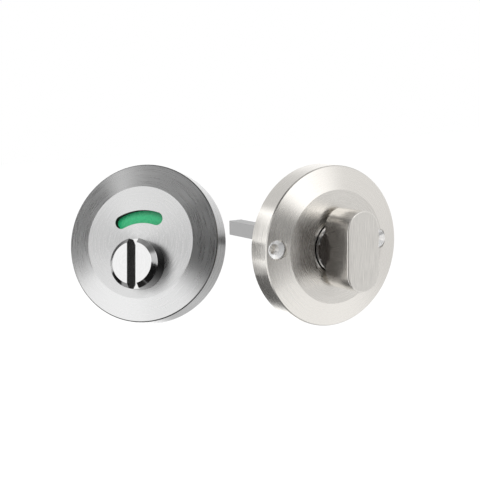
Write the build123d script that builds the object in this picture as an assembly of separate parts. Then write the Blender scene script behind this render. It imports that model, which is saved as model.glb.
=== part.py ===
from build123d import *
from math import cos, radians, sin, sqrt
import os

# Privacy lockset for a bathroom door: an outside rose with a slotted emergency release and a
# vacant/engaged window, and an inside rose with a thumb turn on a square spindle.
# Millimetres. The origin is the centre of the inside rose's back face, on the spindle's axis.
# The inside half faces -Y with +Z up, and the outside half is laid out beside it, turned away.
# Each half is drawn with its rose's back at z = 0 and its front towards +z, and then placed.

# Roses
rose_diameter = 50.0
rose_thickness = 10.0
flat_diameter = 35.4
bevel_height = 2.4
rim_wall = 2.2
front_wall = 2.2
bevel_wall = 1.1
rim_edge = 0.3

# Fixings: two bolts pass through the inside rose into tapped lugs on the outside rose
fixing_inset = 6.0
fixing_shift_across = 2.4
fixing_shift_up = 1.0
fixing_hole_diameter = 3.2
countersink_diameter = 6.2
countersink_land = 0.3
post_diameter = 6.8
tapped_hole_diameter = 2.5
tapped_hole_depth = 4.6
lug_height = 5.2
lug_diameter = 6.6

# Inside turn
grip_width = 11.9
grip_length = 24.8
grip_depth = 11.4
grip_round = 0.35
grip_back_edge = 0.3
collar_diameter = 16.4
collar_height = 1.7
collar_edge = 0.25
collar_gap = 0.3
turn_journal_diameter = 11.0
turn_stem_setback = 0.5
spigot_diameter = 8.0
spigot_length = 4.9
bush_ring_wall = 2.3
inside_bush_bore_length = 4.1
inside_bush_flange_lip = 2.0
inside_bush_flange = 0.6
grub_diameter = 3.0
grub_recess = 3.4
grub_socket = 1.5
grub_height = 2.5

# Outside release and indicator
release_drop = 7.2
release_diameter = 15.8
release_height = 7.5
release_chamfer = 1.65
release_chamfer_inward = 1.45
coin_slot_width = 3.2
coin_slot_depth = 3.4
coin_slot_turned = -3.0
release_journal_diameter = 10.0
release_flats = 7.8
release_stem_setback = 1.0
outside_bush_diameter = 13.0
outside_bush_flange_diameter = 15.2
outside_bush_flange = 0.45
window_width = 4.1
window_half_angle = 23.0
field_margin = 0.35
field_rim_gap = 1.16
field_thickness = 0.25
carrier_thickness = 0.75
carrier_hub_diameter = 23.0
indicator_turn = 90.0
stop_pin_diameter = 1.6
stop_pin_seat = 1.2
stop_slot_play = 0.3
stop_slot_rim = 1.2
stop_slot_over_travel = 2.0

# Spindle and its sockets
spindle_side = 4.8
spindle_behind_rose = 47.0
spindle_engagement = 10.0
spindle_edge = 0.2
socket_side = 5.0
socket_end_gap = 0.2
release_socket_depth = 7.5
spindle_pin_diameter = 1.5
spindle_pin_height = 5.0

# Retaining rings, washers and disc springs
ring_thickness = 0.6
ring_groove_depth = 0.6
ring_band = 1.3
ring_gap_angle = 40.0
washer_thickness = 0.4
spring_inset = 0.3
spring_thickness = 0.3
spring_cone = 0.2

# Clearances
running_gap = 0.05
seat_gap = 0.02
face_gap = 0.1
head_gap = 0.15

# Where the outside half stands in the set's layout
outside_position = (-38.83, 36.49, -1.32)
outside_turned = -52.5
outside_leaned_back = 14.65
outside_rolled = 7.6

rose_radius = rose_diameter / 2
flat_radius = flat_diameter / 2
ceiling = rose_thickness - front_wall
cavity_radius = rose_radius - rim_wall
pivot = (0, -release_drop)
fixing_pitch = rose_diameter - 2 * fixing_inset
turn_opening_diameter = collar_diameter + 2 * collar_gap
inside_bush_flange_diameter = turn_opening_diameter + 2 * inside_bush_flange_lip
grub_length = grip_length / 2 - spigot_diameter / 2 - seat_gap - grub_recess
stop_slot_width = stop_pin_diameter + 2 * stop_slot_play
stop_pin_radius = (carrier_hub_diameter - stop_slot_width) / 2 - stop_slot_rim

# The window lies as far from the pivot as lets a field's end swing past the rim with its gap
swing_reach = cavity_radius - field_rim_gap - window_width / 2 - field_margin
swing_rise = release_drop * sin(radians(window_half_angle))
swing_run = release_drop * cos(radians(window_half_angle))
window_radius = sqrt(swing_reach**2 - swing_run**2) - swing_rise

inside_place = Rot(90, 0, 0)
outside_place = (
    Pos(*outside_position)
    * Rot(0, 0, outside_turned)
    * Rot(90 - outside_leaned_back, 0, 0)
    * Rot(0, 0, outside_rolled)
)


def disc(radius, low, high):
    """A cylinder about z between two heights."""
    return Pos(0, 0, low) * Cylinder(
        radius, high - low, align=(Align.CENTER, Align.CENTER, Align.MIN)
    )


def ring(outer, inner, low, high):
    return disc(outer, low, high) - disc(inner, low - 1, high + 1)


def square_bar(side, low, high):
    return Pos(0, 0, low) * Box(
        side, side, high - low, align=(Align.CENTER, Align.CENTER, Align.MIN)
    )


def slab(sketch, low, high):
    return Pos(0, 0, low) * extrude(sketch, high - low)


def arc_band(radius, width, start, end):
    """A band of constant width with round ends, along an arc about the origin."""
    return SlotArc(CenterArc((0, 0), radius, start, end - start), width)


def circles_of(solid, radius, height):
    """The round edges of one radius at one height."""
    return [
        e
        for e in solid.edges().filter_by(GeomType.CIRCLE)
        if abs(e.radius - radius) < 1e-4 and abs(e.center().Z - height) < 1e-4
    ]


def bevel_surface(radius):
    """Height of a rose's front surface at a radius."""
    out = max(0.0, radius - flat_radius) / (rose_radius - flat_radius)
    return rose_thickness - bevel_height * out


def rose_blank():
    """The turned outside of a rose: rim, bevel and flat."""
    rim_height = rose_thickness - bevel_height
    profile = Polyline(
        (0, 0),
        (rose_radius, 0),
        (rose_radius, rim_height),
        (flat_radius, rose_thickness),
        (0, rose_thickness),
        close=True,
    )
    blank = revolve(Plane.XZ * make_face(profile), Axis.Z)
    return chamfer(circles_of(blank, rose_radius, rim_height), min(rim_edge, rim_wall / 3))


def rose_cavity():
    """The hollow behind a rose's front, open at the back."""
    corner_height = min(ceiling, bevel_surface(cavity_radius) - bevel_wall)
    slope = bevel_height / (rose_radius - flat_radius)
    corner_radius = cavity_radius - (ceiling - corner_height) / slope
    points = [(0, -1), (cavity_radius, -1), (cavity_radius, corner_height)]
    if ceiling - corner_height > 0.01:
        points += [(corner_radius, ceiling)]
    points += [(0, ceiling)]
    return revolve(Plane.XZ * make_face(Polyline(*points, close=True)), Axis.Z)


def fixing_points(mirror):
    """The two bolt centres about the spindle's axis, seen from the front of a half."""
    middle = -fixing_shift_across * mirror
    return [(middle + side * fixing_pitch / 2, fixing_shift_up) for side in (-1, 1)]


def inside_rose():
    blank = rose_blank()
    rose = blank - rose_cavity()
    opening = turn_opening_diameter / 2
    sleeve_low = ceiling - inside_bush_bore_length
    rose += ring(opening + bush_ring_wall, opening, sleeve_low, ceiling + front_wall / 2)
    for x, y in fixing_points(1):
        rose += (Pos(x, y, 0) * disc(post_diameter / 2, 0, rose_thickness)) & blank
    rose -= disc(opening, -1, rose_thickness + 1)
    for x, y in fixing_points(1):
        surface = bevel_surface((x * x + y * y) ** 0.5)
        wide = countersink_diameter / 2
        bore = fixing_hole_diameter / 2
        seat = surface - countersink_land
        rose -= Pos(x, y, 0) * disc(bore, -1, rose_thickness)
        rose -= Pos(x, y, 0) * disc(wide, seat, rose_thickness + 1)
        rose -= Pos(x, y, seat - (wide - bore) / 2) * Cone(bore, wide, wide - bore)
    return rose


def lug(x, y):
    """A tapped lug that stands in from the rim below the indicator's path."""
    across = lug_diameter
    reach = cavity_radius + rim_wall / 2
    outward = 1 if x > 0 else -1
    web = Pos(x + outward * reach / 2, y, lug_height / 2) * Box(reach, across, lug_height)
    boss = Pos(x, y, 0) * disc(across / 2, 0, lug_height)
    return (web + boss) & disc(rose_radius - rim_wall / 2, 0, lug_height)


def outside_rose():
    rose = rose_blank() - rose_cavity()
    places = [(x, y - release_drop) for x, y in fixing_points(-1)]
    for x, y in places:
        rose += lug(x, y)
    for x, y in places:
        rose -= Pos(x, y, 0) * disc(tapped_hole_diameter / 2, -1, tapped_hole_depth)
    window = arc_band(
        window_radius, window_width, 90 - window_half_angle, 90 + window_half_angle
    )
    rose -= Pos(*pivot, 0) * slab(window, ceiling - 1, rose_thickness + 1)
    rose -= Pos(*pivot, 0) * disc(outside_bush_diameter / 2, ceiling - 1, rose_thickness + 1)
    rose -= Pos(0, -release_drop - stop_pin_radius, 0) * disc(
        stop_pin_diameter / 2, ceiling - 1, ceiling + stop_pin_seat
    )
    return rose


def circlip(shaft_diameter, low, high):
    """An open retaining ring seated in its groove."""
    inner = shaft_diameter / 2 - ring_groove_depth + seat_gap
    clip = ring(inner + ring_band, inner, low, high)
    gap = Pos(0, -inner - ring_band / 2, (low + high) / 2)
    opening = 2 * inner * ring_gap_angle / 115
    return clip - gap * Box(opening, ring_band * 2.5, 2 * (high - low))


def washer(shaft_diameter, wide, low, high):
    return ring(wide / 2, shaft_diameter / 2 + face_gap, low, high)


def disc_spring(shaft_diameter, wide, low, high):
    """A conical spring washer that fills the height between its seats."""
    inner = shaft_diameter / 2 + face_gap
    outer = wide / 2 - spring_inset
    section = Polyline(
        (inner, high - spring_thickness),
        (outer, low),
        (outer, low + spring_thickness),
        (inner, high),
        close=True,
    )
    return revolve(Plane.XZ * make_face(section), Axis.Z)


# Heights of the inside stack, from the rose's front wall back to the retaining ring
collar_top = rose_thickness + collar_height
bush_low = ceiling - inside_bush_bore_length
collar_low = ceiling + face_gap
inside_flange_low = bush_low - inside_bush_flange
inside_spring_top = inside_flange_low - seat_gap
inside_spring_low = inside_spring_top - spring_thickness - spring_cone
inside_washer_low = inside_spring_low - washer_thickness
inside_ring_low = inside_washer_low - ring_thickness
inside_socket_top = spindle_engagement + socket_end_gap
inside_washer_wide = turn_opening_diameter - 2 * face_gap


def inside_bush():
    """A flanged nylon bush, pushed into the rose's sleeve from behind."""
    bore = turn_journal_diameter / 2 + running_gap
    body = disc(turn_opening_diameter / 2 - seat_gap, bush_low, ceiling)
    flange = disc(inside_bush_flange_diameter / 2, inside_flange_low, bush_low)
    return body + flange - disc(bore, inside_flange_low - 1, ceiling + 1)


def turn_stem():
    """The polished collar, journal and spigot, turned from one bar and broached square."""
    collar = disc(collar_diameter / 2, collar_low, collar_top)
    collar = chamfer(circles_of(collar, collar_diameter / 2, collar_top), collar_edge)
    stem = collar + disc(turn_journal_diameter / 2, turn_stem_setback, collar_low)
    stem += disc(spigot_diameter / 2, collar_top, collar_top + spigot_length)
    stem -= ring(
        turn_journal_diameter, turn_journal_diameter / 2 - ring_groove_depth,
        inside_ring_low, inside_washer_low,
    )
    stem -= square_bar(socket_side, -1, inside_socket_top)
    return stem - cross_pin(turn_journal_diameter, seat_gap)


def cross_pin(length, gap):
    radius = spindle_pin_diameter / 2 + gap
    return Pos(0, 0, spindle_pin_height) * Rot(0, 90, 0) * Cylinder(radius, length)


def grip_bore(gap):
    return disc(spigot_diameter / 2 + gap, collar_top, collar_top + spigot_length + face_gap)


def turn_grip():
    """The solid round-ended thumb turn, bored for the spigot and tapped for its grub screw."""
    outline = Rot(0, 0, 90) * SlotOverall(grip_length, grip_width)
    grip = slab(outline, collar_top, collar_top + grip_depth)
    back, front = grip.faces().filter_by(Axis.Z).sort_by(Axis.Z)
    grip = fillet(front.edges(), grip_round)
    grip = chamfer(grip.faces().sort_by(Axis.Z)[0].edges(), grip_back_edge)
    grip -= grip_bore(seat_gap)
    return grip - grub_hole()


def grub_hole():
    depth = grip_length / 2
    place = Pos(0, -depth / 2, collar_top + grub_height) * Rot(90, 0, 0)
    return place * Cylinder(grub_diameter / 2, depth)


def grub_screw():
    """Locks the grip to the spigot from the grip's lower end."""
    seat = spigot_diameter / 2 + seat_gap
    place = Pos(0, -seat, collar_top + grub_height) * Rot(90, 0, 0)
    screw = disc(grub_diameter / 2 - seat_gap, 0, grub_length)
    key = extrude(RegularPolygon(grub_socket / 2, 6, major_radius=False), grub_length)
    return place * (screw - Pos(0, 0, grub_length * 0.6) * key)


def spindle():
    bar = square_bar(spindle_side, -spindle_behind_rose, spindle_engagement)
    ends = bar.faces().filter_by(Axis.Z).edges()
    return chamfer(ends, spindle_edge) - cross_pin(spindle_side * 2, seat_gap)


# Heights of the outside stack, from the rose's front wall back to the retaining ring
head_low = rose_thickness + head_gap
head_top = rose_thickness + release_height
outside_flange_low = ceiling - outside_bush_flange
carrier_top = outside_flange_low - face_gap
carrier_low = carrier_top - carrier_thickness
outside_spring_low = carrier_low - spring_thickness - spring_cone
outside_washer_low = outside_spring_low - washer_thickness
outside_ring_low = outside_washer_low - ring_thickness


def outside_bush():
    """A flanged nylon bush between the release and the rose."""
    bore = release_journal_diameter / 2 + running_gap
    body = disc(outside_bush_diameter / 2 - seat_gap, ceiling, rose_thickness)
    flange = disc(outside_bush_flange_diameter / 2, outside_flange_low, ceiling)
    return body + flange - disc(bore, outside_flange_low - 1, rose_thickness + 1)


def double_d(diameter, flats, low, high):
    """A round shaft with two flats."""
    return disc(diameter / 2, low, high) & Pos(0, 0, (low + high) / 2) * Box(
        flats, diameter, high - low
    )


def release_turn():
    """The slotted emergency release, with the shaft that drives the indicator."""
    radius = release_diameter / 2
    section = Polyline(
        (0, head_low),
        (radius, head_low),
        (radius, head_top - release_chamfer),
        (radius - release_chamfer_inward, head_top),
        (0, head_top),
        close=True,
    )
    head = revolve(Plane.XZ * make_face(section), Axis.Z)
    head -= Pos(0, 0, head_top) * Rot(0, 0, coin_slot_turned) * Box(
        coin_slot_width, release_diameter * 2, coin_slot_depth * 2
    )
    shaft = disc(release_journal_diameter / 2, carrier_top, head_low)
    drive = double_d(release_journal_diameter, release_flats, release_stem_setback, carrier_top)
    stem = head + shaft + drive
    stem -= ring(
        release_journal_diameter, release_journal_diameter / 2 - ring_groove_depth,
        outside_ring_low, outside_washer_low,
    )
    socket_top = release_stem_setback + release_socket_depth
    return stem - square_bar(socket_side, release_stem_setback - 1, socket_top)


def indicator_carrier():
    """The fan-shaped plate that swings behind the window, with its stop slot."""
    band = window_width + 2 * field_margin
    start = 90 - indicator_turn - window_half_angle
    end = 90 + window_half_angle
    edge = CenterArc((0, 0), window_radius, start, end - start)
    fan = make_face(Line((0, 0), edge @ 0) + edge + Line(edge @ 1, (0, 0)))
    outline = fan + arc_band(window_radius, band, start, end) + Circle(carrier_hub_diameter / 2)
    plate = slab(outline, carrier_low, carrier_top)
    slot = arc_band(
        stop_pin_radius, stop_slot_width,
        270 - indicator_turn - stop_slot_over_travel, 270 + stop_slot_over_travel,
    )
    plate -= slab(slot, carrier_low - 1, carrier_top + 1)
    hole = double_d(
        release_journal_diameter + 2 * seat_gap, release_flats + 2 * seat_gap,
        carrier_low - 1, carrier_top + 1,
    )
    return plate - hole


def colour_field(centre_angle):
    """One enamelled field, wide enough to fill the window."""
    band = window_width + 2 * field_margin
    shape = arc_band(
        window_radius, band, centre_angle - window_half_angle, centre_angle + window_half_angle
    )
    return slab(shape, carrier_top, carrier_top + field_thickness)


def stop_pin():
    """Pressed into the front wall, and caught in the carrier's slot at both ends of the turn."""
    return Pos(0, -stop_pin_radius, 0) * disc(
        stop_pin_diameter / 2 - seat_gap, carrier_low - face_gap, ceiling + stop_pin_seat
    )


os.makedirs("parts", exist_ok=True)

inside_pieces = {
    "inside_rose": inside_rose(),
    "inside_bush": inside_bush(),
    "turn_stem": turn_stem(),
    "turn_grip": turn_grip(),
    "grip_grub_screw": grub_screw(),
    "turn_disc_spring": disc_spring(
        turn_journal_diameter, inside_washer_wide, inside_spring_low, inside_spring_top
    ),
    "turn_washer": washer(
        turn_journal_diameter, inside_washer_wide, inside_washer_low, inside_spring_low
    ),
    "turn_circlip": circlip(turn_journal_diameter, inside_ring_low, inside_washer_low),
    "spindle": spindle(),
    "spindle_pin": cross_pin(turn_journal_diameter - 2 * face_gap, 0),
}
on_the_pivot = {
    "outside_bush": outside_bush(),
    "release_turn": release_turn(),
    "indicator_carrier": indicator_carrier(),
    "vacant_field": colour_field(90),
    "engaged_field": colour_field(90 - indicator_turn),
    "release_disc_spring": disc_spring(
        release_journal_diameter, release_diameter, outside_spring_low, carrier_low
    ),
    "release_washer": washer(
        release_journal_diameter, release_diameter, outside_washer_low, outside_spring_low
    ),
    "release_circlip": circlip(release_journal_diameter, outside_ring_low, outside_washer_low),
    "stop_pin": stop_pin(),
}

for name, piece in inside_pieces.items():
    export_step(inside_place * piece, f"parts/{name}.step")
for name, piece in on_the_pivot.items():
    export_step(outside_place * Pos(*pivot, 0) * piece, f"parts/{name}.step")
export_step(outside_place * outside_rose(), "parts/outside_rose.step")
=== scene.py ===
import math

import bpy
from bpy.props import FloatProperty, FloatVectorProperty, PointerProperty
from mathutils import Matrix, Vector

bl_info = {
    "name": "Bathroom Lockset Dresser",
    "version": (1, 0, 0),
    "blender": (4, 5, 0),
    "location": "3D View > Sidebar > Lockset",
    "description": "Finishes the packed bathroom lockset and sets up its studio",
    "category": "Object",
}

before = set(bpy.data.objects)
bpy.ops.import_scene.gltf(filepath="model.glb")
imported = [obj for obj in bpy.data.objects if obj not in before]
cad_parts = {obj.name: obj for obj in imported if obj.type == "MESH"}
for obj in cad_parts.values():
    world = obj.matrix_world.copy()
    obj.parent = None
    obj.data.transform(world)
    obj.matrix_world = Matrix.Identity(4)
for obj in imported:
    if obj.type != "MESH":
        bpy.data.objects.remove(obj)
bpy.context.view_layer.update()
MM = 0.001

# The two halves' frames: their fronts face local +Z, and the origin is the centre of the rose's back
INSIDE_PLACE = Matrix.Rotation(math.radians(90), 4, "X")
OUTSIDE_PLACE = (
    Matrix.Translation(Vector((-38.83, 36.49, -1.32)) * MM)
    @ Matrix.Rotation(math.radians(-52.5), 4, "Z")
    @ Matrix.Rotation(math.radians(75.35), 4, "X")
    @ Matrix.Rotation(math.radians(7.6), 4, "Z")
)
RELEASE_DROP = 7.2 * MM
RELEASE_PLACE = OUTSIDE_PLACE @ Matrix.Translation((0, -RELEASE_DROP, 0))
ROSE_THICKNESS = 10 * MM

# The roses are dull inside and painted dark there as shade, within these radii and below the flat on
# their fronts
OUTSIDE_HOLLOW_RADIUS = 17.4 * MM
INSIDE_HOLLOW_RADIUS = 9.5 * MM
HOLLOW_TOP = (ROSE_THICKNESS - 0.12 * MM, ROSE_THICKNESS - 0.03 * MM)
HOLLOW_EDGE = 0.05 * MM
HOLLOW_SHADE = (0.05, 0.05, 0.05, 1)
HOLLOW_ROUGHNESS = 0.6

# The fixing holes' countersinks are bright-cut metal, whitened further by a painted highlight so they
# are brighter than the rose round them, and end over its lugs' backs
FIXING_HOLES = ((-21.4 * MM, 1.0 * MM), (16.6 * MM, 1.0 * MM))
WELL_RADIUS = 2.8 * MM
WELL_EDGE = 0.04 * MM
WELL_FOOT = 5.0 * MM
WELL_FOOT_EDGE = 0.2 * MM
WELL_HIGHLIGHT = 1.1
WELL_ROUGHNESS = 0.16
WELL_METAL = 0.55

# Dark bands painted as reflections, round an axis: least radius, least and greatest height, and grey
# level
# Painted dark reflection on the outside rim's edge
RIM_PAINTED_REFLECTION = ((24.6 * MM, 7.28 * MM, 7.72 * MM, 0.10),)
# Painted dark reflections on the release's side and chamfer
RELEASE_PAINTED_REFLECTIONS = (
    (7.85 * MM, 9 * MM, 15.9 * MM, 0.10),
    (6.5 * MM, 15.9 * MM, 17.46 * MM, 0.36),
)
BAND_SIDE_EDGE = 0.02 * MM
BAND_END_EDGE = 0.05 * MM

# Brushed streaks: their noise, the parts of its range that turn into tone and into gloss, how much
# the gloss varies, how fast a streak changes round a ring, and how far one is drawn out on a line
STREAK_DETAIL = 4.0
STREAK_ROUGHNESS = 0.7
STREAK_TONES = (0.3, 0.7)
STREAK_GLOSSES = (0.25, 0.75)
GLOSS_SPREAD = 0.15
RING_CHANGE = 2.2
LINE_DRAW = 0.96

# The smoother finishes: the part of their noise's range that turns into tone and gloss, and the
# size of one mark
CLOUD_TONES = (0.3, 0.7)
NYLON_GRAIN = 0.35 * MM
ENAMEL_PEEL = 0.9 * MM

# How deep the marks of each finish are
RING_DEPTH = 0.002 * MM
LINE_DEPTH = 0.004 * MM
PLATING_DEPTH = 0.002 * MM
NYLON_DEPTH = 0.006 * MM
ENAMEL_DEPTH = 0.004 * MM

# The photograph's frame
FRAME_PIXELS = 480
CAMERA_PLACE = Vector((-259.85, -348.44, 66.66)) * MM
CAMERA_RIGHT = Vector((0.8325, -0.5539, -0.0154))
CAMERA_UP = Vector((0.0952, 0.1154, 0.9887))
CAMERA_BACK = Vector((-0.5459, -0.8245, 0.1488))
CAMERA_RANGE = (0.01, 20)
SENSOR = 36.0


class FinishSettings(bpy.types.PropertyGroup):
    outside_satin: FloatVectorProperty(
        name="Outside satin", description="Colour of the outside rose's satin plating",
        default=(0.72, 0.72, 0.72), subtype="COLOR", min=0, max=1,
    )
    inside_satin: FloatVectorProperty(
        name="Inside satin", description="Colour of the inside rose's satin plating",
        default=(0.81, 0.785, 0.745), subtype="COLOR", min=0, max=1,
    )
    # The grip's satin is the inside satin painted lighter, as painted light that brightens its
    # highlights
    grip_satin: FloatVectorProperty(
        name="Grip lit satin", description="Colour of the thumb turn's satin plating",
        default=(0.85, 0.825, 0.785), subtype="COLOR", min=0, max=1,
    )
    polished: FloatVectorProperty(
        name="Polished", description="Colour of the release and of the turn's collar",
        default=(0.80, 0.80, 0.80), subtype="COLOR", min=0, max=1,
    )
    zinc: FloatVectorProperty(
        name="Zinc", description="Colour of the washers, pins and carrier plate",
        default=(0.60, 0.60, 0.61), subtype="COLOR", min=0, max=1,
    )
    bar: FloatVectorProperty(
        name="Bar steel", description="Colour of the drawn bar of the spindle",
        default=(0.22, 0.22, 0.22), subtype="COLOR", min=0, max=1,
    )
    spring: FloatVectorProperty(
        name="Spring steel", description="Colour of the circlips, disc springs and grub screw",
        default=(0.16, 0.16, 0.17), subtype="COLOR", min=0, max=1,
    )
    nylon: FloatVectorProperty(
        name="Nylon", description="Colour of the moulded bushes",
        default=(0.84, 0.83, 0.78), subtype="COLOR", min=0, max=1,
    )
    vacant: FloatVectorProperty(
        name="Vacant green", description="Enamel of the field that shows when the room is free",
        default=(0.030, 0.46, 0.19), subtype="COLOR", min=0, max=1,
    )
    engaged: FloatVectorProperty(
        name="Engaged red", description="Enamel of the field that shows when the door is locked",
        default=(0.52, 0.02, 0.02), subtype="COLOR", min=0, max=1,
    )
    brushing: FloatProperty(
        name="Brushing width", description="Width across one visible brushed streak",
        default=0.22 * MM, min=0.05 * MM, max=3 * MM, subtype="DISTANCE", unit="LENGTH",
    )


class StudioSettings(bpy.types.PropertyGroup):
    floor_drop: FloatProperty(
        name="Floor drop", description="Height of the set's origin over the floor",
        default=0.12, min=0.03, max=1, subtype="DISTANCE", unit="LENGTH",
    )
    floor_size: FloatProperty(
        name="Floor size", description="Width of the pale floor",
        default=3.0, min=0.5, max=10, subtype="DISTANCE", unit="LENGTH",
    )
    focal_pixels: FloatProperty(
        name="Focal length", description="Focal length in pixels of the 480 pixel frame",
        default=1400.0, min=200, max=5000,
    )


def settings():
    return bpy.context.scene.lockset_finish, bpy.context.scene.lockset_studio


# Materials

def tint(colour, factor):
    return tuple(min(1.0, c * factor) for c in colour) + (1.0,)


class Shader:
    """A material's node tree with short ways to add its nodes."""

    def __init__(self, name):
        self.material = bpy.data.materials.new(name)
        self.material.use_nodes = True
        self.tree = self.material.node_tree
        self.surface = self.tree.nodes["Principled BSDF"]

    def add(self, kind, **values):
        node = self.tree.nodes.new(kind)
        for key, value in values.items():
            setattr(node, key, value)
        return node

    def feed(self, socket, value):
        if hasattr(value, "is_output"):
            self.tree.links.new(value, socket)
        else:
            socket.default_value = value

    def maths(self, operation, *values):
        node = self.add("ShaderNodeMath", operation=operation)
        for socket, value in zip(node.inputs, values):
            self.feed(socket, value)
        return node.outputs[0]

    def vector(self, operation, *values):
        node = self.add("ShaderNodeVectorMath", operation=operation)
        for socket, value in zip(node.inputs, values):
            self.feed(socket, value)
        return node.outputs["Value" if operation in ("LENGTH", "DOT_PRODUCT") else "Vector"]

    def scaled(self, vector, factor):
        node = self.add("ShaderNodeVectorMath", operation="SCALE")
        self.feed(node.inputs[0], vector)
        self.feed(node.inputs["Scale"], factor)
        return node.outputs[0]

    def combine(self, x, y, z):
        node = self.add("ShaderNodeCombineXYZ")
        for socket, value in zip(node.inputs, (x, y, z)):
            self.feed(socket, value)
        return node.outputs[0]

    def split(self, vector):
        node = self.add("ShaderNodeSeparateXYZ")
        self.feed(node.inputs[0], vector)
        return node.outputs

    def ramp(self, value, low, high, to_low, to_high):
        node = self.add("ShaderNodeMapRange", interpolation_type="SMOOTHSTEP")
        for socket, given in zip(node.inputs, (value, low, high, to_low, to_high)):
            self.feed(socket, given)
        return node.outputs[0]

    def rise(self, value, low, high):
        """0 under the low value and 1 over the high one."""
        return self.ramp(value, low, high, 0.0, 1.0)

    def fall(self, value, low, high):
        """1 under the low value and 0 over the high one."""
        return self.ramp(value, low, high, 1.0, 0.0)

    def both(self, one, other):
        """Where two masks cover the same place."""
        return self.maths("MULTIPLY", one, other)

    def noise(self, vector, scale, detail, roughness):
        node = self.add("ShaderNodeTexNoise")
        self.feed(node.inputs["Vector"], vector)
        self.feed(node.inputs["Scale"], scale)
        self.feed(node.inputs["Detail"], detail)
        self.feed(node.inputs["Roughness"], roughness)
        return node.outputs[0]

    def streak_noise(self, vector, scale):
        return self.noise(vector, scale, STREAK_DETAIL, STREAK_ROUGHNESS)

    def mix(self, factor, one, other):
        node = self.add("ShaderNodeMix", data_type="RGBA")
        self.feed(node.inputs[0], factor)
        self.feed(node.inputs[6], one)
        self.feed(node.inputs[7], other)
        return node.outputs[2]

    def streak_colour(self, streaks, colour, contrast):
        """A colour that is a little darker or lighter from streak to streak."""
        return self.mix(
            self.rise(streaks, *STREAK_TONES), tint(colour, 1 - contrast), tint(colour, 1 + contrast / 2)
        )

    def streak_gloss(self, streaks, roughness):
        """A roughness that varies from streak to streak."""
        smooth, rough = roughness * (1 - GLOSS_SPREAD), roughness * (1 + GLOSS_SPREAD)
        return self.ramp(streaks, *STREAK_GLOSSES, smooth, rough)

    def bump(self, height, distance):
        node = self.add("ShaderNodeBump")
        self.feed(node.inputs["Height"], height)
        node.inputs["Distance"].default_value = distance
        node.inputs["Strength"].default_value = 1.0
        self.feed(self.surface.inputs["Normal"], node.outputs[0])

    def object_point(self):
        return self.add("ShaderNodeTexCoord").outputs["Object"]

    def placed_point(self, place):
        """Object coordinates measured in a half's own frame, in metres."""
        node = self.add("ShaderNodeMapping", vector_type="TEXTURE")
        self.feed(node.inputs["Vector"], self.object_point())
        node.inputs["Location"].default_value = place.to_translation()
        node.inputs["Rotation"].default_value = place.to_euler()
        return node.outputs[0]

    def to_world(self, vector):
        node = self.add(
            "ShaderNodeVectorTransform", vector_type="VECTOR", convert_from="OBJECT", convert_to="WORLD"
        )
        self.feed(node.inputs[0], vector)
        return node.outputs[0]

    def grooved(self, along, anisotropy):
        """Stretches highlights across the grooves that run along a direction of the object."""
        quarter_turn = 0.25
        self.surface.inputs["Anisotropic"].default_value = anisotropy
        self.surface.inputs["Anisotropic Rotation"].default_value = quarter_turn
        self.feed(self.surface.inputs["Tangent"], self.to_world(along))

    def set(self, **values):
        for name, value in values.items():
            socket = self.surface.inputs[name.replace("_", " ").title()]
            self.feed(socket, value)


def ring_brushed(
    name, colour, place, roughness, anisotropy, contrast, hollow_radius=0.0, wells=(), painted_reflections=()
):
    """Metal brushed in rings about the axis of a half or of the release.

    It is dull with painted shade in the hollow behind the flat, bright-cut with a painted highlight in
    round wells, and painted with dark reflections on bands.
    """
    finish = settings()[0]
    shader = Shader(name)
    x, y, z = shader.split(shader.placed_point(place))
    flat = shader.combine(x, y, 0.0)
    radius = shader.vector("LENGTH", flat)
    round_x, round_y, _ = shader.split(shader.vector("NORMALIZE", flat))
    across = shader.maths("DIVIDE", shader.maths("ADD", radius, z), finish.brushing)
    along_x = shader.maths("MULTIPLY", round_x, RING_CHANGE)
    along_y = shader.maths("MULTIPLY", round_y, RING_CHANGE)
    streaks = shader.streak_noise(shader.combine(across, along_x, along_y), 1.0)
    satin = shader.streak_colour(streaks, colour, contrast)
    gloss = shader.streak_gloss(streaks, roughness)
    # Painted shade: the hollow behind the flat is coloured dark
    if hollow_radius:
        hollow = shader.both(
            shader.fall(z, *HOLLOW_TOP),
            shader.fall(radius, hollow_radius - HOLLOW_EDGE, hollow_radius + HOLLOW_EDGE),
        )
        satin = shader.mix(hollow, satin, HOLLOW_SHADE)
        gloss = shader.ramp(hollow, 0.0, 1.0, gloss, HOLLOW_ROUGHNESS)
    metal = 1.0
    # Painted highlight, partly bright-cut metal: the wells are made whiter and less metallic than the
    # satin
    for well_x, well_y in wells:
        reach = shader.vector("LENGTH", shader.vector("SUBTRACT", flat, (well_x, well_y, 0.0)))
        well = shader.both(
            shader.fall(reach, WELL_RADIUS, WELL_RADIUS + WELL_EDGE),
            shader.rise(z, WELL_FOOT, WELL_FOOT + WELL_FOOT_EDGE),
        )
        satin = shader.mix(well, satin, tint(finish.polished, WELL_HIGHLIGHT))
        gloss = shader.ramp(well, 0.0, 1.0, gloss, WELL_ROUGHNESS)
        metal = shader.ramp(well, 0.0, 1.0, metal, WELL_METAL)
    # Painted reflections: dark bands where the metal would mirror dark surroundings
    for least, low, high, grey in painted_reflections:
        reflection_band = shader.both(
            shader.rise(radius, least - BAND_SIDE_EDGE, least + BAND_SIDE_EDGE),
            shader.both(
                shader.rise(z, low, low + BAND_END_EDGE), shader.fall(z, high - BAND_END_EDGE, high)
            ),
        )
        satin = shader.mix(reflection_band, satin, (grey, grey, grey, 1.0))
    shader.set(Metallic=metal, Roughness=gloss, Base_Color=satin)
    shader.bump(streaks, RING_DEPTH)
    axis = (place.to_3x3() @ Vector((0, 0, 1))).normalized()
    arm = shader.vector("SUBTRACT", shader.object_point(), tuple(place.to_translation()))
    tangent = shader.vector("NORMALIZE", shader.vector("CROSS_PRODUCT", tuple(axis), arm))
    shader.grooved(tangent, anisotropy)
    return shader.material


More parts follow.
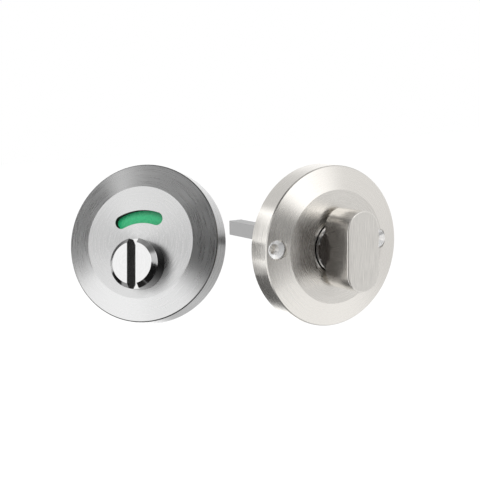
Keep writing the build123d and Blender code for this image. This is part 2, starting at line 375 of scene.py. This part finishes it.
def line_brushed(name, colour, direction, roughness, anisotropy, contrast):
    """Metal brushed along one straight direction."""
    finish = settings()[0]
    shader = Shader(name)
    direction = Vector(direction).normalized()
    point = shader.object_point()
    along = shader.vector("DOT_PRODUCT", point, tuple(direction))
    drawn_out = shader.scaled(direction, shader.maths("MULTIPLY", along, LINE_DRAW))
    streaks = shader.streak_noise(shader.vector("SUBTRACT", point, drawn_out), 1.0 / finish.brushing)
    shader.set(
        Metallic=1.0, Roughness=shader.streak_gloss(streaks, roughness),
        Base_Color=shader.streak_colour(streaks, colour, contrast),
    )
    shader.bump(streaks, LINE_DEPTH)
    shader.grooved(tuple(direction), anisotropy)
    return shader.material


def plated(name, colour, roughness, grain):
    """Smooth plated or polished metal with faint unevenness."""
    shader = Shader(name)
    cloud = shader.noise(shader.object_point(), 1.0 / grain, detail=3.0, roughness=0.55)
    shader.set(
        Metallic=1.0, Roughness=shader.ramp(cloud, *CLOUD_TONES, roughness * 0.8, roughness * 1.25),
        Base_Color=shader.mix(shader.rise(cloud, *CLOUD_TONES), tint(colour, 0.94), tint(colour, 1.03)),
    )
    shader.bump(cloud, PLATING_DEPTH)
    return shader.material


def moulded(name, colour):
    """Natural nylon with a faint moulded grain."""
    shader = Shader(name)
    grain = shader.noise(shader.object_point(), 1.0 / NYLON_GRAIN, detail=2.0, roughness=0.5)
    shader.set(
        Roughness=shader.ramp(grain, *CLOUD_TONES, 0.38, 0.52),
        Base_Color=shader.mix(grain, tint(colour, 0.93), tint(colour, 1.04)),
    )
    shader.bump(grain, NYLON_DEPTH)
    shader.surface.inputs["Subsurface Weight"].default_value = 0.05
    shader.surface.inputs["Subsurface Radius"].default_value = (0.001, 0.0008, 0.0006)
    return shader.material


def enamel(name, colour):
    """Gloss enamel, with a faint orange peel."""
    shader = Shader(name)
    peel = shader.noise(shader.object_point(), 1.0 / ENAMEL_PEEL, detail=2.0, roughness=0.5)
    shader.set(
        Roughness=shader.ramp(peel, *CLOUD_TONES, 0.22, 0.34),
        Base_Color=shader.mix(peel, tint(colour, 0.9), tint(colour, 1.08)),
    )
    shader.bump(peel, ENAMEL_DEPTH)
    return shader.material


def hardware(half):
    """The plain zinc and the dark spring steel of a half's small pieces."""
    finish = settings()[0]
    return (
        plated(half + " zinc", finish.zinc, roughness=0.32, grain=1.2 * MM),
        plated(half + " spring steel", finish.spring, roughness=0.38, grain=0.6 * MM),
    )


def dress(node, material):
    """Gives a CAD node its finish in every material slot."""
    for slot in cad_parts[node].material_slots:
        slot.material = material


class FinishOutsideHalf(bpy.types.Operator):
    """Give the outside half's pieces their finishes"""

    bl_idname = "lockset.finish_outside_half"
    bl_label = "Finish Outside Half"

    def execute(self, context):
        finish = settings()[0]
        # The outside rose carries painted shade in its hollow and a painted dark reflection on its rim's
        # edge
        satin = ring_brushed(
            "outside satin", finish.outside_satin, OUTSIDE_PLACE, roughness=0.29, anisotropy=0.8,
            contrast=0.04, hollow_radius=OUTSIDE_HOLLOW_RADIUS, painted_reflections=RIM_PAINTED_REFLECTION,
        )
        # The release's side and chamfer carry painted dark reflections
        bright = ring_brushed(
            "release polish", finish.polished, RELEASE_PLACE, roughness=0.09, anisotropy=0.30,
            contrast=0.05, painted_reflections=RELEASE_PAINTED_REFLECTIONS,
        )
        zinc, dark = hardware("outside")
        for node, material in {
            "outside_rose": satin,
            "release_turn": bright,
            "outside_bush": moulded("outside nylon", finish.nylon),
            "indicator_carrier": zinc,
            "stop_pin": zinc,
            "release_washer": zinc,
            "release_disc_spring": dark,
            "release_circlip": dark,
            "vacant_field": enamel("vacant enamel", finish.vacant),
            "engaged_field": enamel("engaged enamel", finish.engaged),
        }.items():
            dress(node, material)
        return {"FINISHED"}


class FinishInsideHalf(bpy.types.Operator):
    """Give the inside half's pieces their finishes"""

    bl_idname = "lockset.finish_inside_half"
    bl_label = "Finish Inside Half"

    def execute(self, context):
        finish = settings()[0]
        # The inside rose carries painted shade in its hollow and painted highlights in its countersinks
        satin = ring_brushed(
            "inside satin", finish.inside_satin, INSIDE_PLACE, roughness=0.26, anisotropy=0.8,
            contrast=0.04, hollow_radius=INSIDE_HOLLOW_RADIUS, wells=FIXING_HOLES,
        )
        # Painted light: the grip's satin is a lighter copy of the inside satin
        upright = line_brushed(
            "grip lit satin", finish.grip_satin, (0, 0, 1), roughness=0.20, anisotropy=0.6, contrast=0.12
        )
        drawn = line_brushed(
            "spindle steel", finish.bar, (0, 1, 0), roughness=0.34, anisotropy=0.3, contrast=0.05
        )
        zinc, dark = hardware("inside")
        for node, material in {
            "inside_rose": satin,
            "turn_grip": upright,
            "turn_stem": plated("stem polish", finish.polished, roughness=0.07, grain=2.5 * MM),
            "spindle": drawn,
            "inside_bush": moulded("inside nylon", finish.nylon),
            "spindle_pin": zinc,
            "turn_washer": zinc,
            "turn_disc_spring": dark,
            "turn_circlip": dark,
            "grip_grub_screw": dark,
        }.items():
            dress(node, material)
        return {"FINISHED"}


# Studio

# What polished metal sees around the set: direction as degrees right of the front and degrees up,
# then the radius of the even part, the radius where it has faded out, and the grey level
SOFT_BOXES = (
    (-78, 12, 14, 34, 1.11),
    (28, 27, 16, 30, 1.50),
    (6, 40, 9, 18, 1.90),
    (62, 4, 20, 40, 0.90),
    (-80, -30, 32, 46, 1.25),
    (-52, -16, 8, 18, 1.20),
    (35, -42, 26, 44, 1.08),
    (-146, 3, 19, 29, 2.30),
    (146, 8, 16, 30, 1.30),
    (162, -32, 9, 18, 1.90),
    (38, -9, 8, 20, 0.72),
)
FLAGS = (
    (-37, 22, 14, 26, 0.03),
    (-43, 42, 11, 23, 0.08),
    (-118, 18, 17, 27, 0.04),
    (-64, 62, 14, 34, 0.22),
    (19, 62, 12, 26, 0.30),
    (0, 88, 10, 24, 0.45),
    (3, 5, 5, 12, 0.12),
    (-29, -49, 12, 19, 0.04),
    (-172, -36, 14, 20, 0.02),
    (-158, -29, 13, 17, 0.02),
    (108, -18, 12, 24, 0.40),
    (0, -90, 20, 40, 0.55),
    (-48, -60, 16, 26, 0.04),
)
STUDIO_GREY = 0.72
WHITE = 1.0

# Cards close to the set: name, colour, and centre, facing, width and height in millimetres
CARDS = (
    ("release card", (0.01, 0.01, 0.01, 1), (-44, -25, 3), (0, 1, 0), 32, 154),
    ("turn card", (0.020, 0.013, 0.009, 1), (-45, -56, -18), (0.6, 0.78, 0.155), 46, 58),
    ("top card", (0.950, 0.930, 0.900, 1), (-31, -49, 34), (0.42, 0.79, -0.45), 16, 14),
    ("flat card", (0.060, 0.038, 0.026, 1), (-2.6, -34, -4.7), (-0.58, 0.80, 0.156), 4.8, 25),
)
CARD_ROUGHNESS = 0.9

# Name, place and size in metres, and power in watts
LAMPS = (
    ("key", (-0.5, -0.55, 0.6), (0.5, 0.5), 6.0),
    ("fill", (0.6, -0.6, 0.3), (0.6, 0.6), 4.0),
)

# To the camera the floor is mostly a glow, so that it looks white and still holds a soft shadow
FLOOR_COLOUR = (0.86, 0.86, 0.86, 1)
FLOOR_ROUGHNESS = 0.9
FLOOR_GLOW = 1.15
FLOOR_GLOW_SHARE = 0.75


def heading(turned, raised):
    """A direction from degrees right of the front and degrees up."""
    turned, raised = math.radians(turned), math.radians(raised)
    return Vector((
        math.sin(turned) * math.cos(raised), -math.cos(turned) * math.cos(raised), math.sin(raised)
    ))


def build_world():
    """White behind the set, with soft boxes and dark flags that show only in reflections."""
    world = bpy.data.worlds.new("studio")
    bpy.context.scene.world = world
    world.use_nodes = True
    tree = world.node_tree
    nodes, links = tree.nodes, tree.links
    nodes.clear()
    direction = nodes.new("ShaderNodeTexCoord").outputs["Generated"]
    start = nodes.new("ShaderNodeValue")
    level = start.outputs[0]
    level.default_value = STUDIO_GREY
    for turned, raised, even, faded, grey in SOFT_BOXES + FLAGS:
        facing = nodes.new("ShaderNodeVectorMath")
        facing.operation = "DOT_PRODUCT"
        facing.inputs[1].default_value = heading(turned, raised)
        links.new(direction, facing.inputs[0])
        cover = nodes.new("ShaderNodeMapRange")
        cover.interpolation_type = "SMOOTHSTEP"
        cover.inputs["From Min"].default_value = math.cos(math.radians(faded))
        cover.inputs["From Max"].default_value = math.cos(math.radians(even))
        links.new(facing.outputs["Value"], cover.inputs["Value"])
        blend = nodes.new("ShaderNodeMix")
        links.new(cover.outputs[0], blend.inputs[0])
        links.new(level, blend.inputs[2])
        blend.inputs[3].default_value = grey
        level = blend.outputs[0]
    path = nodes.new("ShaderNodeLightPath")
    seen = nodes.new("ShaderNodeMix")
    links.new(path.outputs["Is Camera Ray"], seen.inputs[0])
    links.new(level, seen.inputs[2])
    seen.inputs[3].default_value = WHITE
    background = nodes.new("ShaderNodeBackground")
    links.new(seen.outputs[0], background.inputs["Color"])
    background.inputs["Strength"].default_value = 1.0
    output = nodes.new("ShaderNodeOutputWorld")
    links.new(background.outputs[0], output.inputs[0])


def add_plane(name, width, height, place, turn=(0, 0, 0)):
    """A flat rectangle, with its place in its mesh."""
    bpy.ops.object.select_all(action="DESELECT")
    bpy.ops.mesh.primitive_plane_add(size=1, location=place, rotation=turn)
    plane = bpy.context.active_object
    plane.name = name
    plane.scale = (width, height, 1)
    bpy.ops.object.transform_apply(location=True, rotation=True, scale=True)
    return plane


def build_floor(drop, size):
    floor = add_plane("floor", size, size, (0, 0, -drop))
    shader = Shader("pale floor")
    path = shader.add("ShaderNodeLightPath")
    shader.set(Base_Color=FLOOR_COLOUR, Roughness=FLOOR_ROUGHNESS)
    glow = shader.add("ShaderNodeEmission")
    glow.inputs["Strength"].default_value = FLOOR_GLOW
    seen = shader.maths("MAXIMUM", path.outputs["Is Camera Ray"], path.outputs["Is Transmission Ray"])
    blend = shader.add("ShaderNodeMixShader")
    shader.feed(blend.inputs[0], shader.maths("MULTIPLY", seen, FLOOR_GLOW_SHARE))
    shader.feed(blend.inputs[1], shader.surface.outputs[0])
    shader.feed(blend.inputs[2], glow.outputs[0])
    output = shader.tree.nodes["Material Output"]
    shader.feed(output.inputs["Surface"], blend.outputs[0])
    floor.data.materials.append(shader.material)
    floor.visible_glossy = False


def build_card(name, colour, centre, facing, width, height):
    """A card that only reflections see, upright on its facing."""
    facing = Vector(facing).normalized()
    side = Vector((0, 0, 1)).cross(facing).normalized()
    rise = facing.cross(side).normalized()
    turn = Matrix((side, rise, facing)).transposed().to_euler()
    card = add_plane(name, width * MM, height * MM, Vector(centre) * MM, turn)
    shader = Shader(name)
    shader.set(Base_Color=colour, Roughness=CARD_ROUGHNESS)
    card.data.materials.append(shader.material)
    card.visible_camera = False
    card.visible_diffuse = False
    card.visible_shadow = False


def build_lamp(name, place, size, power):
    """A soft lamp that faces the set and shows only as light."""
    light = bpy.data.lights.new(name, "AREA")
    light.shape = "RECTANGLE"
    light.size, light.size_y = size
    light.energy = power
    lamp = bpy.data.objects.new(name, light)
    bpy.context.scene.collection.objects.link(lamp)
    lamp.location = place
    lamp.rotation_euler = (-Vector(place)).to_track_quat("-Z", "Y").to_euler()
    lamp.visible_glossy = False
    lamp.visible_camera = False


def build_camera(focal_pixels):
    data = bpy.data.cameras.new("photo camera")
    data.sensor_width = SENSOR
    data.lens = focal_pixels * SENSOR / FRAME_PIXELS
    data.clip_start, data.clip_end = CAMERA_RANGE
    camera = bpy.data.objects.new("photo camera", data)
    bpy.context.scene.collection.objects.link(camera)
    turn = Matrix((CAMERA_RIGHT, CAMERA_UP, CAMERA_BACK)).transposed().to_4x4()
    camera.matrix_world = Matrix.Translation(CAMERA_PLACE) @ turn
    bpy.context.scene.camera = camera


class SetStage(bpy.types.Operator):
    """Build the world, the floor, the lamps, the cards and the camera"""

    bl_idname = "lockset.set_stage"
    bl_label = "Set Stage"

    def execute(self, context):
        studio = settings()[1]
        build_world()
        build_floor(studio.floor_drop, studio.floor_size)
        for lamp in LAMPS:
            build_lamp(*lamp)
        for card in CARDS:
            build_card(*card)
        build_camera(studio.focal_pixels)
        context.scene.view_settings.view_transform = "Standard"
        return {"FINISHED"}


class LocksetPanel(bpy.types.Panel):
    bl_idname = "VIEW3D_PT_lockset"
    bl_label = "Bathroom Lockset"
    bl_space_type = "VIEW_3D"
    bl_region_type = "UI"
    bl_category = "Lockset"

    def draw(self, context):
        layout = self.layout
        for group in settings():
            box = layout.box()
            for name in group.bl_rna.properties.keys():
                if name not in ("rna_type", "name"):
                    box.prop(group, name)
        for step in STEPS:
            layout.operator(step.bl_idname)


STEPS = (FinishOutsideHalf, FinishInsideHalf, SetStage)
CLASSES = (FinishSettings, StudioSettings) + STEPS + (LocksetPanel,)


def register():
    for cls in CLASSES:
        bpy.utils.register_class(cls)
    bpy.types.Scene.lockset_finish = PointerProperty(type=FinishSettings)
    bpy.types.Scene.lockset_studio = PointerProperty(type=StudioSettings)


def unregister():
    del bpy.types.Scene.lockset_studio
    del bpy.types.Scene.lockset_finish
    for cls in reversed(CLASSES):
        bpy.utils.unregister_class(cls)


def main():
    register()
    for step in STEPS:
        group, action = step.bl_idname.split(".")
        getattr(getattr(bpy.ops, group), action)()


if __name__ == "__main__":
    main()
